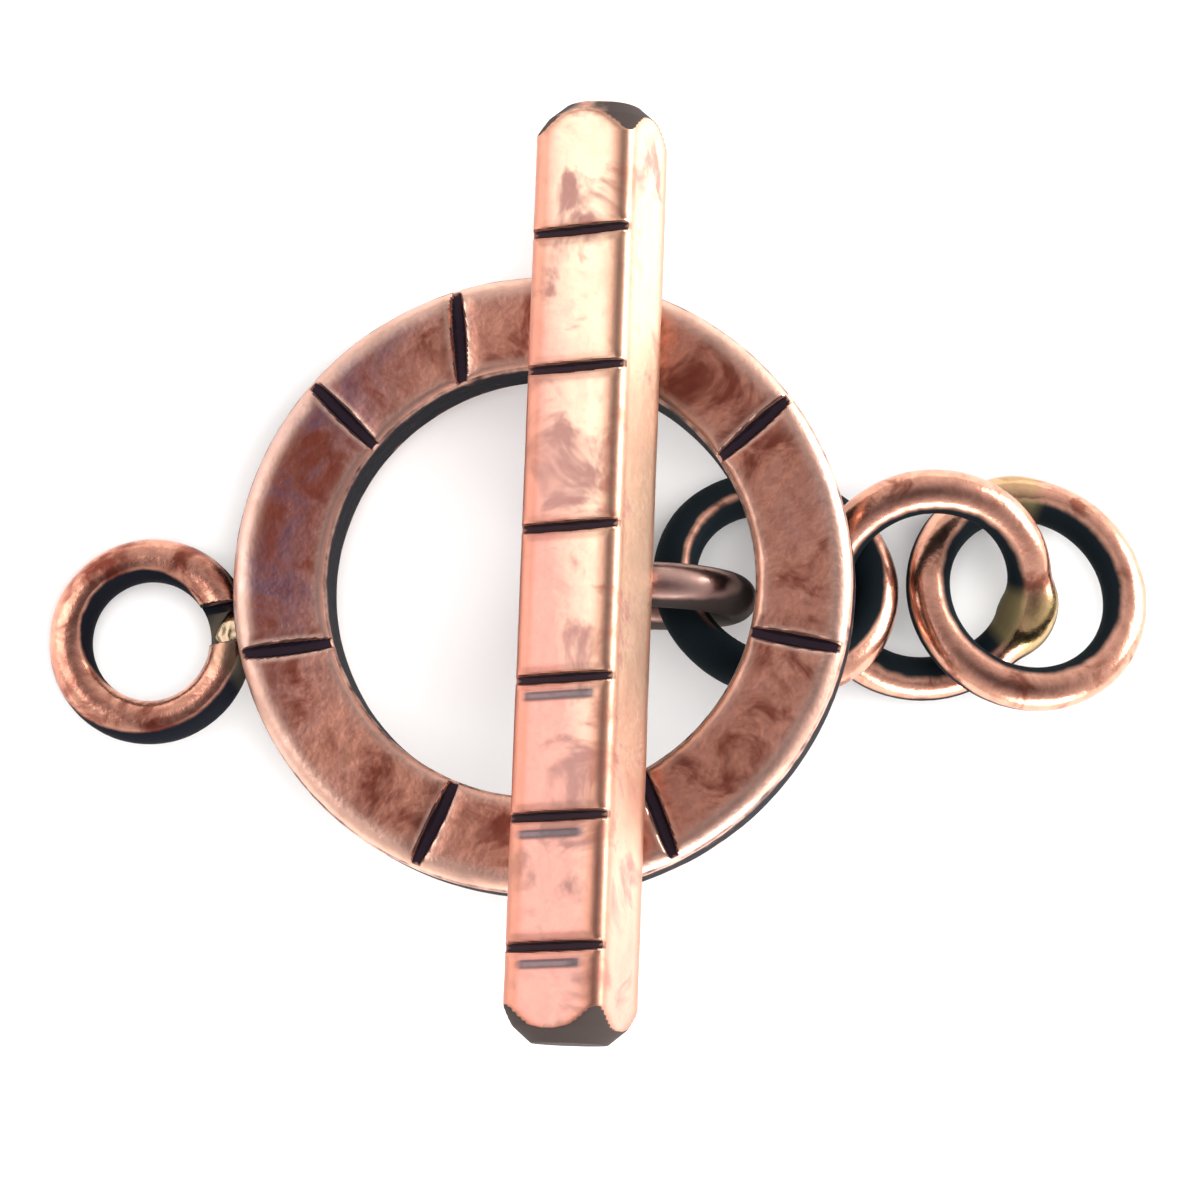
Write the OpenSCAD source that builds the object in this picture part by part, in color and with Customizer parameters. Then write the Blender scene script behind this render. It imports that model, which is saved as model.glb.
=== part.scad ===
// Toggle clasp of round and square copper wire, lying fastened on a flat surface.
// The bar lies across the toggle ring. Its eye hangs through the ring and holds three linked jump rings,
// and the toggle ring leans on them. Units are millimetres.

/* [Toggle ring] */
// Outer diameter of the toggle ring
ring_outer_d = 15.86; // [12:0.1:24]
// Width of the ring's square wire, measured along a radius
ring_width = 2.45; // [1.6:0.05:3]
// Thickness of the ring
ring_thick = 2.1; // [1.4:0.05:3]
// Rounding of the ring's outer corners
ring_outer_round = 0.45; // [0.1:0.05:0.6]
// Rounding of the ring's inner corners
ring_inner_round = 0.25; // [0.05:0.05:0.4]
// Width of the filed grooves at the ring's face
ring_groove_width = 0.42; // [0.2:0.02:0.7]
// Depth of the filed grooves
ring_groove_depth = 0.42; // [0.1:0.02:0.7]

/* [End loop] */
// Radius of the end loop to the middle of its wire
loop_r = 2.1; // [1.6:0.02:3]
// Wire of the end loop
loop_wire = 1.12; // [0.8:0.02:1.5]
// How far the loop is let into the ring's rim
loop_sink = 0.34; // [0.2:0.02:0.5]

/* [Toggle bar] */
// Length of the bar
bar_length = 23.55; // [18:0.1:32]
// Side of the bar's square wire
bar_side = 2.65; // [1.8:0.05:3.2]
// Rounding of the bar's long edges
bar_round = 0.3; // [0.1:0.05:0.5]
// Length of the ground cone at each end
tip_length = 1.15; // [0.5:0.05:2]
// Diameter of the flat that is left on the end
tip_flat_d = 1.9; // [0.8:0.05:2]
// Width of the filed grooves at the bar's face
bar_groove_width = 0.3; // [0.2:0.02:0.6]
// Depth of the filed grooves
bar_groove_depth = 0.3; // [0.1:0.02:0.6]

/* [Eye] */
// Radius of the eye to the middle of its wire
eye_r = 2.05; // [1.8:0.05:2.6]
// Wire of the eye
eye_wire = 1.15; // [0.8:0.05:1.3]
// Diameter of the soldered neck
neck_d = 1.1; // [0.8:0.05:1.3]

/* [Jump rings] */
// Radius of a jump ring to the middle of its wire
link_r = 2.68; // [2.3:0.02:3.4]
// Wire of the jump rings
link_wire = 1.15; // [0.8:0.05:1.3]
// How far the middle ring's solder bead stands out from the wire
bead_rise = 0.3; // [0.1:0.01:0.32]

/* [Lie] */
// Clearance between pieces that only touch
clear = 0.12; // [0.05:0.01:0.3]
// Clearance where two wires cross inside each other
link_clear = 0.2; // [0.1:0.01:0.3]
// The same where the end ring crosses the middle one, which it holds more loosely
loose_clear = 0.6; // [0.2:0.05:0.8]
// Roll of the bar on the toggle ring's face
bar_roll = 17.5; // [5:0.5:30]
// Play between the first two jump rings
play_near = 0.16; // [0.1:0.01:1]
// Play between the last two jump rings
play_far = 1.55; // [0.1:0.05:1.6]
// Lean of the toggle ring towards the bar's lower end
lean_x = -11; // [-14:0.5:-4]
// Lean of the toggle ring away from the jump rings
lean_y = -13.5; // [-16:0.5:-8]

/* [Hidden] */
$fn = 64;

// Toggle ring and end loop
ring_ro = ring_outer_d / 2;
ring_ri = ring_ro - ring_width;
ring_mid = ring_ro - ring_width / 2;
// Each filed groove's place round the ring and its slant against the radius, in degrees
ring_cuts = [[36, 6], [73, 0], [109, -14], [140, -4.5], [195, -8], [247.5, -2.5], [297.5, -6], [347, 2.5]];
loop_turn = 188;
loop_d = ring_ro + loop_r + loop_wire / 2 - loop_sink;
// Flat cut on the loop's upper arm, the recess below it, and the solder between that recess and the rim
cut_y = -loop_r * 0.33;
cut_gap = loop_r * 0.5;
solder_in = loop_r * 0.83;
solder_y = [-loop_r * 0.24, loop_r * 0.56];
solder_z = [-loop_wire * 0.42, loop_wire * 0.3];

// Bar, with its grooves as shares of half its length
bar_cuts = [-0.803, -0.533, -0.244, 0.077, 0.417, 0.712];
cut_skew = 2.5;
bar_turn = -1.2;
bar_seat = ring_thick / 2 + clear + bar_side / 2 * (cos(bar_roll) + sin(bar_roll))
    - bar_round * (cos(bar_roll) + sin(bar_roll) - 1);

// Small vector turns, in degrees
function turn_x(v, a) = [v.x, v.y * cos(a) - v.z * sin(a), v.y * sin(a) + v.z * cos(a)];
function turn_y(v, a) = [v.x * cos(a) + v.z * sin(a), v.y, -v.x * sin(a) + v.z * cos(a)];
function turn_z(v, a) = [v.x * cos(a) - v.y * sin(a), v.x * sin(a) + v.y * cos(a), v.z];

// Distance of two linked rings that are pulled apart but for the play
function link_step(play) = 2 * link_r - link_wire - play;
// Tilt between two linked rings at which their crossing wires clear each other
function link_tilt(d, gap) =
    let (h = link_r * link_r - d * d / 4, g = link_wire + gap)
    2 * asin(g * sqrt(h) / sqrt(4 * h * h - g * g * d * d / 4));

// First jump ring, measured from the toggle ring: its raised side stays under the ring's face
near_x = -19;
near_y = 15.5;
near_off = 0.5;
near_n = turn_y(turn_x([0, 0, 1], near_x), near_y);
near_z = -ring_thick / 2 - clear - link_wire / 2 - link_r * norm([near_n.x, near_n.y]);

// Eye of the bar: it stands just inside the toggle ring, and the first jump ring hangs in its lower side
hang = 35;
eye_in = eye_r - (eye_wire + link_wire) / 2 - clear;
eye_x = ring_ri - clear - eye_r - eye_wire / 2;
eye_z = near_z + link_r * sin(near_y) + eye_in * cos(hang);
eye_drop = (bar_seat - eye_z) / cos(bar_roll);
bar_x = eye_x - eye_drop * sin(bar_roll);
near_c = [eye_x + eye_in * sin(hang) + link_r * cos(near_y), near_off, near_z];

// Middle and end jump rings, each measured from the ring before it, and turned about the line through its two
// crossings with that ring, so that its free side rises or sinks
step_near = link_step(play_near);
step_far = link_step(play_far);
tilt_near = link_tilt(step_near, link_clear);
tilt_far = link_tilt(step_far, loose_clear);
turn_near = 0.6;
rise_mid = 4.5;
turn_far = -5.5;
rise_far = -2;

// Where the outer two jump rings' joints lie, as angles round the ring; the end ring has less solder on its own
bead_mid = -17;
bead_end = 98;
bead_low = bead_rise * 0.2;

// Directions and places carried from a ring's own frame to the surface's frame
function from_ring(v) = turn_y(turn_x(v, lean_x), lean_y);
function from_near(v) = from_ring(turn_y(turn_x(v, near_x), near_y));
function from_join(v) = from_near(turn_z(turn_y(v, -rise_mid), turn_near));
function from_mid(v) = from_join(turn_x(v, tilt_near));
function from_far(v) = from_mid(turn_z(turn_y(v, -rise_far), turn_far));
function from_end(v) = from_far(turn_x(v, -tilt_far));
loop_c = from_ring(turn_z([loop_d, 0, 0], loop_turn));
bar_c = from_ring([bar_x, 0, bar_seat]);
eye_c = from_ring([bar_x, 0, bar_seat]
    + turn_z([eye_drop * sin(bar_roll), 0, -eye_drop * cos(bar_roll)], bar_turn));
near_w = from_ring(near_c);
mid_w = near_w + from_near(turn_z([step_near / 2, 0, 0], turn_near)) + from_join([step_near / 2, 0, 0]);
end_w = mid_w + from_mid(turn_z([step_far / 2, 0, 0], turn_far)) + from_far([step_far / 2, 0, 0]);

// Half the reach of a wire ring along an axis: its normal's share n along that axis
function reach(n, r, wire) = r * sqrt(max(0, 1 - n * n)) + wire / 2;
ring_up = from_ring([0, 0, 1]);
lows = [
    loop_c.z - reach(ring_up.z, loop_r, loop_wire),
    -reach(ring_up.z, ring_ro - ring_outer_round, 0) - (ring_thick / 2 - ring_outer_round) * ring_up.z
        - ring_outer_round,
    eye_c.z - reach(from_ring(turn_z([0, 1, 0], bar_turn)).z, eye_r, eye_wire),
    near_w.z - reach(from_near([0, 0, 1]).z, link_r, link_wire),
    mid_w.z - reach(from_mid([0, 0, 1]).z, link_r, link_wire),
    end_w.z - reach(from_end([0, 0, 1]).z, link_r, link_wire)
];
left = loop_c.x - reach(ring_up.x, loop_r, loop_wire);
right = end_w.x + reach(from_end([0, 0, 1]).x, link_r, link_wire);
// The lowest piece touches the surface, and the whole clasp lies centred on the origin
place = [-(left + right) / 2, -bar_c.y, -min(lows)];

// From the toggle ring's frame to the surface
module lie() translate(place) rotate([lean_x, lean_y, 0]) children();
module lie_near() lie() translate(near_c) rotate([near_x, near_y, 0]) children();
module lie_mid() lie_near() rotate([0, 0, turn_near]) translate([step_near / 2, 0, 0])
    rotate([0, -rise_mid, 0]) translate([step_near / 2, 0, 0]) rotate([tilt_near, 0, 0]) children();
module lie_end() lie_mid() rotate([0, 0, turn_far]) translate([step_far / 2, 0, 0])
    rotate([0, -rise_far, 0]) translate([step_far / 2, 0, 0]) rotate([-tilt_far, 0, 0]) children();

// What a rounding takes off a corner; the corner is at the origin and the metal lies at +x, +y
module corner(r) difference() {
    translate([-1, -1]) square(r + 1);
    translate([r, r]) circle(r);
}

// Wire bent to a full ring
module wire_ring(r, wire) rotate_extrude() translate([r, 0]) circle(d = wire);

// Filed groove: a trapezoid along +x, its open side at z = 0
module groove(width, depth, length) rotate([90, 0, 90]) linear_extrude(length)
    polygon([[-width / 2, 0.6], [-width / 2, 0], [-width / 4, -depth], [width / 4, -depth],
        [width / 2, 0], [width / 2, 0.6]]);

// Square wire of the toggle ring, cut at the plane through its axis
module ring_section() difference() {
    translate([ring_ri, -ring_thick / 2]) square([ring_width, ring_thick]);
    for (s = [-1, 1]) {
        translate([ring_ro, s * ring_thick / 2]) mirror([0, s > 0 ? 1 : 0]) mirror([1, 0])
            corner(ring_outer_round);
        translate([ring_ri, s * ring_thick / 2]) mirror([0, s > 0 ? 1 : 0]) corner(ring_inner_round);
    }
}

// End loop: one arm of the wire runs into the solder, and the other ends in a flat cut above it
module end_loop() {
    difference() {
        wire_ring(loop_r, loop_wire);
        translate([-loop_r - loop_wire, cut_y, -loop_wire * 0.1])
            cube([loop_wire * 2, cut_gap, loop_wire]);
    }
    translate([-loop_r - loop_wire * 0.75, solder_y[0], solder_z[0]])
        cube([loop_r + loop_wire * 0.75 - solder_in, solder_y[1] - solder_y[0], solder_z[1] - solder_z[0]]);
}

module toggle_ring() color("#8f5a4a") lie() difference() {
    union() {
        rotate_extrude() ring_section();
        rotate([0, 0, loop_turn]) translate([loop_d, 0, 0]) end_loop();
    }
    for (cut = ring_cuts) rotate([0, 0, cut[0]]) translate([ring_mid, 0, ring_thick / 2])
        rotate([0, 0, cut[1]]) translate([-ring_width, 0, 0])
            groove(ring_groove_width, ring_groove_depth, ring_width * 2);
}

// Square wire of the bar, cut across
module bar_section() difference() {
    square(bar_side, center = true);
    for (i = [0, 1], j = [0, 1]) mirror([i, 0]) mirror([0, j])
        translate([-bar_side / 2, -bar_side / 2]) corner(bar_round);
}

// Turned blank that grinds both ends of the bar to a blunt cone
module tips() rotate([90, 0, 0]) rotate_extrude() polygon([
    [0, -bar_length / 2], [tip_flat_d / 2, -bar_length / 2],
    [bar_side * 0.53, -bar_length / 2 + tip_length * 0.34],
    [bar_side * 0.72, -bar_length / 2 + tip_length], [bar_side * 0.72, bar_length / 2 - tip_length],
    [bar_side * 0.53, bar_length / 2 - tip_length * 0.34],
    [tip_flat_d / 2, bar_length / 2], [0, bar_length / 2]
]);

module toggle_bar() color("#c58a74") lie() translate([bar_x, 0, bar_seat]) {
    rotate([0, 0, bar_turn]) rotate([0, -bar_roll, 0]) {
        difference() {
            intersection() {
                rotate([90, 0, 0]) translate([0, 0, -bar_length / 2]) linear_extrude(bar_length) bar_section();
                tips();
            }
            for (s = bar_cuts) translate([0, s * bar_length / 2, bar_side / 2]) rotate([0, 0, cut_skew])
                translate([-bar_side, 0, 0]) groove(bar_groove_width, bar_groove_depth, bar_side * 2);
        }
        translate([0, 0, -eye_drop]) rotate([90, 0, 0]) wire_ring(eye_r, eye_wire);
        translate([0, 0, -eye_drop + eye_r]) cylinder(h = eye_drop - eye_r - bar_side / 4, d = neck_d);
        translate([0, 0, -bar_side / 2 - neck_d * 0.3]) cylinder(h = neck_d * 0.5, d1 = neck_d, d2 = neck_d * 1.8);
    }
}

// Jump ring with a bead of solder on its joint
module jump_ring(bead, rise) {
    wire_ring(link_r, link_wire);
    rotate([0, 0, bead]) translate([link_r + rise * 0.4, 0, 0]) sphere(d = link_wire + rise * 1.6);
}

module bar_jump_ring() color("#4a3a36") lie_near() wire_ring(link_r, link_wire);
module middle_jump_ring() color("#7d5340") lie_mid() jump_ring(bead_mid, bead_rise);
module end_jump_ring() color("#9a6a55") lie_end() jump_ring(bead_end, bead_low);

toggle_ring();
toggle_bar();
bar_jump_ring();
middle_jump_ring();
end_jump_ring();
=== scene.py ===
# %% [markdown]
# # A fastened toggle clasp in antiqued copper
# The clasp lies on a pale table and is seen from almost straight above. A square bar with filed grooves
# lies across a square-wire ring with an end loop, and an eye under the bar hangs through the ring and holds
# three jump rings. The imported CAD model gives the frame. Every piece here is made in millimetres in its own
# upright frame, worn and stained by rules that follow its shape, given painted shade on the sides that face
# away from the light, and then carried to the place where its CAD node lies.

# %% Load the frame
from math import asin, cos, degrees, hypot, pi, radians, sin, sqrt, tan

import bpy
from mathutils import Euler, Matrix, Vector


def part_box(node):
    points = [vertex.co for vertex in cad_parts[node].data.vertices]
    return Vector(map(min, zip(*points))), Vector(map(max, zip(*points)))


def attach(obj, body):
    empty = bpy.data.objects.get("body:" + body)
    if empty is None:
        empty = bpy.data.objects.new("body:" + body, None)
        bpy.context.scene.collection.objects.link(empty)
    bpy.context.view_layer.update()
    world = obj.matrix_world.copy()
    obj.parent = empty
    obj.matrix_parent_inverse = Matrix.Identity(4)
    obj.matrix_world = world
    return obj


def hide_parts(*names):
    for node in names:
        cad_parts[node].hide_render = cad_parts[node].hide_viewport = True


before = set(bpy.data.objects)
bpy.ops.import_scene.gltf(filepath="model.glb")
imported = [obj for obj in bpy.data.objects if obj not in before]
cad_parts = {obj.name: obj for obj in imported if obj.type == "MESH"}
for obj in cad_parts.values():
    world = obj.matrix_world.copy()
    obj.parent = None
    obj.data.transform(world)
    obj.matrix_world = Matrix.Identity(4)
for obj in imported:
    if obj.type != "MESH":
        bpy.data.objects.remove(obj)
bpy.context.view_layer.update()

MM = 0.001

# %% [markdown]
# ## The camera
# The photo was taken from almost straight above with a long lens, so far parts hardly shrink. A camera
# could be placed by hand until the picture fits, but its place and target are worked out from the ring's
# ellipse and the bar's length in the photo, and kept as plain millimetres. It comes first, so that each
# piece can be looked at.

# %% Camera at the photo's angle
CAMERA_AT = Vector((-15.01, 3.92, 113.01))
CAMERA_TO = Vector((-0.422, -0.874, 3.58))
CAMERA_UP = Vector((0.0045, 1, 0))
FIELD_OF_VIEW = 15.8


def put(name, data):
    """A new object in the scene."""
    thing = bpy.data.objects.new(name, data)
    bpy.context.scene.collection.objects.link(thing)
    return thing


lens = bpy.data.cameras.new("photo_camera")
lens.sensor_width = 36.0
lens.lens = lens.sensor_width / 2 / tan(radians(FIELD_OF_VIEW) / 2)
lens.clip_start = 1 * MM
camera = put("photo_camera", lens)
camera.location = CAMERA_AT * MM
back = (CAMERA_AT - CAMERA_TO).normalized()
right = CAMERA_UP.cross(back).normalized()
camera.rotation_euler = Matrix((right, back.cross(right), back)).transposed().to_euler()
bpy.context.scene.camera = camera
print("camera distance in mm:", round((CAMERA_TO - CAMERA_AT).length, 1), "lens:", round(lens.lens, 1))

# %% [markdown]
# ## Sizes and where the pieces lie
# The ring leans on the links under it, and each link is placed from the one before it. The same named sizes
# and turns as in the part's source give each piece a matrix, so nothing is fitted by eye. Only the last
# shift, which sets the clasp down on the table, is measured on the CAD nodes.

# %% Sizes in millimetres
RING_D, RING_WIDTH, RING_THICK = 15.86, 2.45, 2.1
RING_OUTER_ROUND, RING_INNER_ROUND = 0.45, 0.25
RING_MARK_WIDTH, RING_MARK_DEPTH = 0.42, 0.42
RING_MARKS = ((36, 6), (73, 0), (109, -14), (140, -4.5), (195, -8), (247.5, -2.5), (297.5, -6), (347, 2.5))
LOOP_R, LOOP_WIRE, LOOP_SINK, LOOP_TURN = 2.1, 1.12, 0.34, 188
BAR_LENGTH, BAR_SIDE, BAR_ROUND = 23.55, 2.65, 0.3
TIP_LENGTH, TIP_FLAT_D = 1.15, 1.9
BAR_MARK_WIDTH, BAR_MARK_DEPTH, BAR_MARK_SKEW = 0.3, 0.3, 2.5
BAR_MARKS = (-0.803, -0.533, -0.244, 0.077, 0.417, 0.712)
EYE_R, EYE_WIRE, NECK_D = 2.05, 1.15, 1.1
LINK_R, LINK_WIRE, BEAD_RISE = 2.68, 1.15, 0.3
CLEAR, LINK_CLEAR, LOOSE_CLEAR = 0.12, 0.2, 0.6
RING_OUT, RING_IN = RING_D / 2, RING_D / 2 - RING_WIDTH
LOOP_D = RING_OUT + LOOP_R + LOOP_WIRE / 2 - LOOP_SINK

# %% Turns and shifts
def turned(x=0, y=0, z=0):
    """Tips a piece x degrees about X, then y about Y, then z about Z."""
    return Euler((radians(x), radians(y), radians(z)), "XYZ").to_matrix().to_4x4()


def moved(x=0.0, y=0.0, z=0.0):
    return Matrix.Translation((x, y, z))


def reach(turn, axis, radius, wire):
    """Half the extent of a wire ring along an axis of the room."""
    share = turn.to_3x3().col[2][axis]
    return radius * sqrt(1 - share * share) + wire / 2


# %% The bar rolls on the ring's face, and its eye drops through the ring
BAR_ROLL, BAR_TURN, HANG = 17.5, -1.2, 35
NEAR_TIP, NEAR_OFF = (-19, 15.5), 0.5
lean = turned(-11, -13.5)
roll = radians(BAR_ROLL)
spread = cos(roll) + sin(roll)
bar_seat = RING_THICK / 2 + CLEAR + BAR_SIDE / 2 * spread - BAR_ROUND * (spread - 1)

near_turn = turned(*NEAR_TIP)
near_up = near_turn.to_3x3().col[2]
near_z = -RING_THICK / 2 - CLEAR - LINK_WIRE / 2 - LINK_R * hypot(near_up.x, near_up.y)
eye_in = EYE_R - (EYE_WIRE + LINK_WIRE) / 2 - CLEAR
eye_x = RING_IN - CLEAR - EYE_R - EYE_WIRE / 2
eye_z = near_z + LINK_R * sin(radians(NEAR_TIP[1])) + eye_in * cos(radians(HANG))
eye_drop = (bar_seat - eye_z) / cos(roll)
bar_x = eye_x - eye_drop * sin(roll)

bar_lie = lean @ moved(bar_x, 0, bar_seat) @ turned(z=BAR_TURN) @ turned(y=-BAR_ROLL)
near_x = eye_x + eye_in * sin(radians(HANG)) + LINK_R * cos(radians(NEAR_TIP[1]))
near_lie = lean @ moved(near_x, NEAR_OFF, near_z) @ near_turn
print("eye hangs", round(eye_drop, 3), "mm under the bar's middle")

# %% Each jump ring from the one before it
def link_step(play):
    return 2 * LINK_R - LINK_WIRE - play


def link_tilt(step, gap):
    """Tilt between two linked rings at which their crossing wires clear each other."""
    h, g = LINK_R ** 2 - step ** 2 / 4, LINK_WIRE + gap
    return degrees(2 * asin(g * sqrt(h) / sqrt(4 * h * h - g * g * step * step / 4)))


def next_link(before, turn, step, rise, tilt):
    """Turned in the ring before it, then raised about the line through the two crossings, then tilted."""
    return before @ turned(z=turn) @ moved(step / 2) @ turned(y=-rise) @ moved(step / 2) @ turned(x=tilt)


step_near, step_far = link_step(0.16), link_step(1.55)
mid_lie = next_link(near_lie, 0.6, step_near, 4.5, link_tilt(step_near, LINK_CLEAR))
end_lie = next_link(mid_lie, -5.5, step_far, -2, -link_tilt(step_far, LOOSE_CLEAR))
loop_lie = lean @ turned(z=LOOP_TURN) @ moved(LOOP_D)

# %% Set the clasp down where the CAD nodes lie
eye_lie = bar_lie @ moved(z=-eye_drop) @ turned(90)
down = Matrix.Translation((
    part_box("toggle_ring")[0].x / MM - loop_lie.translation.x + reach(lean, 0, LOOP_R, LOOP_WIRE),
    -bar_lie.translation.y,
    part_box("toggle_bar")[0].z / MM - eye_lie.translation.z + reach(eye_lie, 2, EYE_R, EYE_WIRE)))
LIE = {"toggle_ring": down @ lean, "toggle_bar": down @ bar_lie, "bar_jump_ring": down @ near_lie,
       "middle_jump_ring": down @ mid_lie, "end_jump_ring": down @ end_lie}
print("set down by", [round(c, 4) for c in down.translation])

# %% [markdown]
# ## A helper for nodes
# Both Geometry Nodes and materials are trees of nodes. This one function adds a node of any kind: settings
# are the node's own choices, and each socket takes either a value or another node's output.

# %% Add one node
MATH, VECTOR_MATH = "ShaderNodeMath", "ShaderNodeVectorMath"
MAP_RANGE, MIX, NOISE = "ShaderNodeMapRange", "ShaderNodeMix", "ShaderNodeTexNoise"
TRANSFORM, SET_POSITION = "GeometryNodeTransform", "GeometryNodeSetPosition"
POSITION, CIRCLE = "GeometryNodeInputPosition", "GeometryNodeCurvePrimitiveCircle"


def add(tree, kind, sockets=(), **settings):
    """Adds a node. sockets maps an input's name or number to a value, a node or a node's output."""
    node = tree.nodes.new(kind)
    for name, value in settings.items():
        setattr(node, name, value)
    for key, value in dict(sockets).items():
        socket = node.inputs[key]
        for item in value if isinstance(value, list) else [value]:
            if isinstance(item, bpy.types.Node):
                item = next(out for out in item.outputs if out.enabled)
            if isinstance(item, bpy.types.NodeSocket):
                tree.links.new(item, socket)
            else:
                socket.default_value = item
    return node


# %% Start a tree with named inputs, and run it
def new_tree(name, inputs, outputs):
    """A Geometry Nodes tree. Each socket's value is its default, and None makes a geometry socket."""
    tree = bpy.data.node_groups.new(name, "GeometryNodeTree")
    kinds = {float: "NodeSocketFloat", int: "NodeSocketInt", tuple: "NodeSocketVector",
             type(None): "NodeSocketGeometry"}
    for side, sockets in (("INPUT", inputs), ("OUTPUT", outputs)):
        for label, value in sockets.items():
            socket = tree.interface.new_socket(label, in_out=side, socket_type=kinds[type(value)])
            if value is not None:
                socket.default_value = value
    return tree, tree.nodes.new("NodeGroupInput").outputs


def close_tree(tree, metal, **shares):
    """Ends a tree: keeps each share on the metal's points for the material, and shades it smooth."""
    for name, value in shares.items():
        metal = add(tree, "GeometryNodeStoreNamedAttribute",
                    {"Geometry": metal, "Name": name, "Value": value}, data_type="FLOAT", domain="POINT")
    real = add(tree, "GeometryNodeRealizeInstances", {0: metal})
    smooth = add(tree, "GeometryNodeSetShadeSmooth", {"Geometry": real, "Shade Smooth": True})
    add(tree, "NodeGroupOutput", {0: smooth})


SHARP = radians(38)


def grow(name, tree, start, lie, **values):
    """Runs the tree on the start mesh, and keeps the result in metres where the piece lies."""
    host = put(name + "_start", start)
    modifier = host.modifiers.new("grow", "NODES")
    modifier.node_group = tree
    for socket in tree.interface.items_tree:
        if socket.in_out == "INPUT" and socket.name in values:
            modifier[socket.identifier] = values[socket.name]
    graph = bpy.context.evaluated_depsgraph_get()
    grown = host.evaluated_get(graph)
    mesh = bpy.data.meshes.new_from_object(grown, preserve_all_data_layers=True, depsgraph=graph)
    host.modifiers.remove(modifier)
    bpy.data.objects.remove(host)
    mesh.transform(Matrix.Scale(MM, 4) @ lie)
    mesh.set_sharp_from_angle(angle=SHARP)
    mesh.name = name
    piece = put(name, mesh)
    print(name, "triangles:", sum(len(face.vertices) - 2 for face in mesh.polygons))
    return piece


# %% [markdown]
# ## File marks, dents and wear as rules
# On the real clasp the bar and the ring are lengths of square wire, and the dark lines are cuts filed
# across them. A cut could be a boolean for each line, but a file also rounds the lips of its cut and runs
# out at the ends. So each line is an edge in a small start mesh, and one node group presses the metal down
# wherever an edge passes by. A second group dents the skin a little and measures where it is hollow or
# proud, because the dark patina stays in hollows and the buffing wheel only reaches what stands proud.

# %% Group: press file marks into a face that looks up
def file_mark_group():
    tree, given = new_tree("file_marks", {
        "Metal": None, "Lines": None, "Across": 0.0, "Face Height": 0.0, "Width": 0.0, "Depth": 0.0,
        "Run Out": 0.0, "Dip": 0.0}, {"Metal": None, "Mark": 0.0})
    place = add(tree, POSITION)
    x, y, z = add(tree, "ShaderNodeSeparateXYZ", {0: place}).outputs
    on_face = add(tree, "ShaderNodeCombineXYZ", {0: x, 1: y, 2: given["Face Height"]})
    near = add(tree, "GeometryNodeProximity", {0: given["Lines"], "Sample Position": on_face},
               target_element="EDGES")
    away = near.outputs["Distance"]

    # The cut runs out towards both edges of the face: depth * (1 - run_out * across^2).
    square = add(tree, MATH, {0: given["Across"], 1: given["Across"]}, operation="MULTIPLY")
    lost = add(tree, MATH, {0: square, 1: given["Run Out"]}, operation="MULTIPLY")
    left = add(tree, MATH, {0: 1.0, 1: lost}, operation="SUBTRACT")
    deepest = add(tree, MATH, {0: left, 1: given["Depth"]}, operation="MULTIPLY")

    # Flat for a quarter of the width on each side of the line, then up to the face.
    flat = add(tree, MATH, {0: given["Width"], 1: 0.25}, operation="MULTIPLY")
    slope = add(tree, MATH, {0: given["Depth"], 1: flat}, operation="DIVIDE")
    past_flat = add(tree, MATH, {0: away, 1: flat}, operation="SUBTRACT")
    past_flat = add(tree, MATH, {0: past_flat, 1: 0.0}, operation="MAXIMUM")
    rise = add(tree, MATH, {0: past_flat, 1: slope}, operation="MULTIPLY")
    cut = add(tree, MATH, {0: deepest, 1: rise}, operation="SUBTRACT")

    # Each block's lips roll off gently towards the cut.
    dip_reach = add(tree, MATH, {0: given["Width"], 1: 1.3}, operation="MULTIPLY")
    roll_off = add(tree, MAP_RANGE, {"Value": away, "From Min": flat, "From Max": dip_reach,
                                     "To Min": given["Dip"], "To Max": 0.0},
                   interpolation_type="SMOOTHSTEP")
    sunk = add(tree, MATH, {0: cut, 1: roll_off, 2: 0.02}, operation="SMOOTH_MAX")
    ceiling = add(tree, MATH, {0: given["Face Height"], 1: sunk}, operation="SUBTRACT")
    height = add(tree, MATH, {0: z, 1: ceiling}, operation="MINIMUM")
    pressed = add(tree, "ShaderNodeCombineXYZ", {0: x, 1: y, 2: height})
    metal = add(tree, SET_POSITION, {"Geometry": given["Metal"], "Position": pressed})

    # The stain covers the cut's own walls and fades just over its lips, and it lies near the face alone.
    half = add(tree, MATH, {0: given["Width"], 1: 0.5}, operation="MULTIPLY")
    stain_edge = add(tree, MATH, {0: half, 1: 0.07}, operation="ADD")
    shrink = add(tree, MATH, {0: left, 1: stain_edge}, operation="MULTIPLY")
    stain = add(tree, MAP_RANGE, {"Value": away, "From Min": shrink, "From Max": flat, "To Min": 0.0,
                                  "To Max": 1.0}, interpolation_type="SMOOTHSTEP")
    floor_of_cut = add(tree, MATH, {0: given["Face Height"], 1: given["Depth"]}, operation="SUBTRACT")
    low = add(tree, MATH, {0: z, 1: floor_of_cut}, operation="SUBTRACT")
    shown = add(tree, MATH, {0: low, 1: -0.03}, operation="GREATER_THAN")
    mark = add(tree, MATH, {0: stain, 1: shown}, operation="MULTIPLY")
    add(tree, "NodeGroupOutput", {0: metal, 1: mark})
    return tree


FILE_MARKS = file_mark_group()
print("file marks group:", len(FILE_MARKS.nodes), "nodes")


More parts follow.
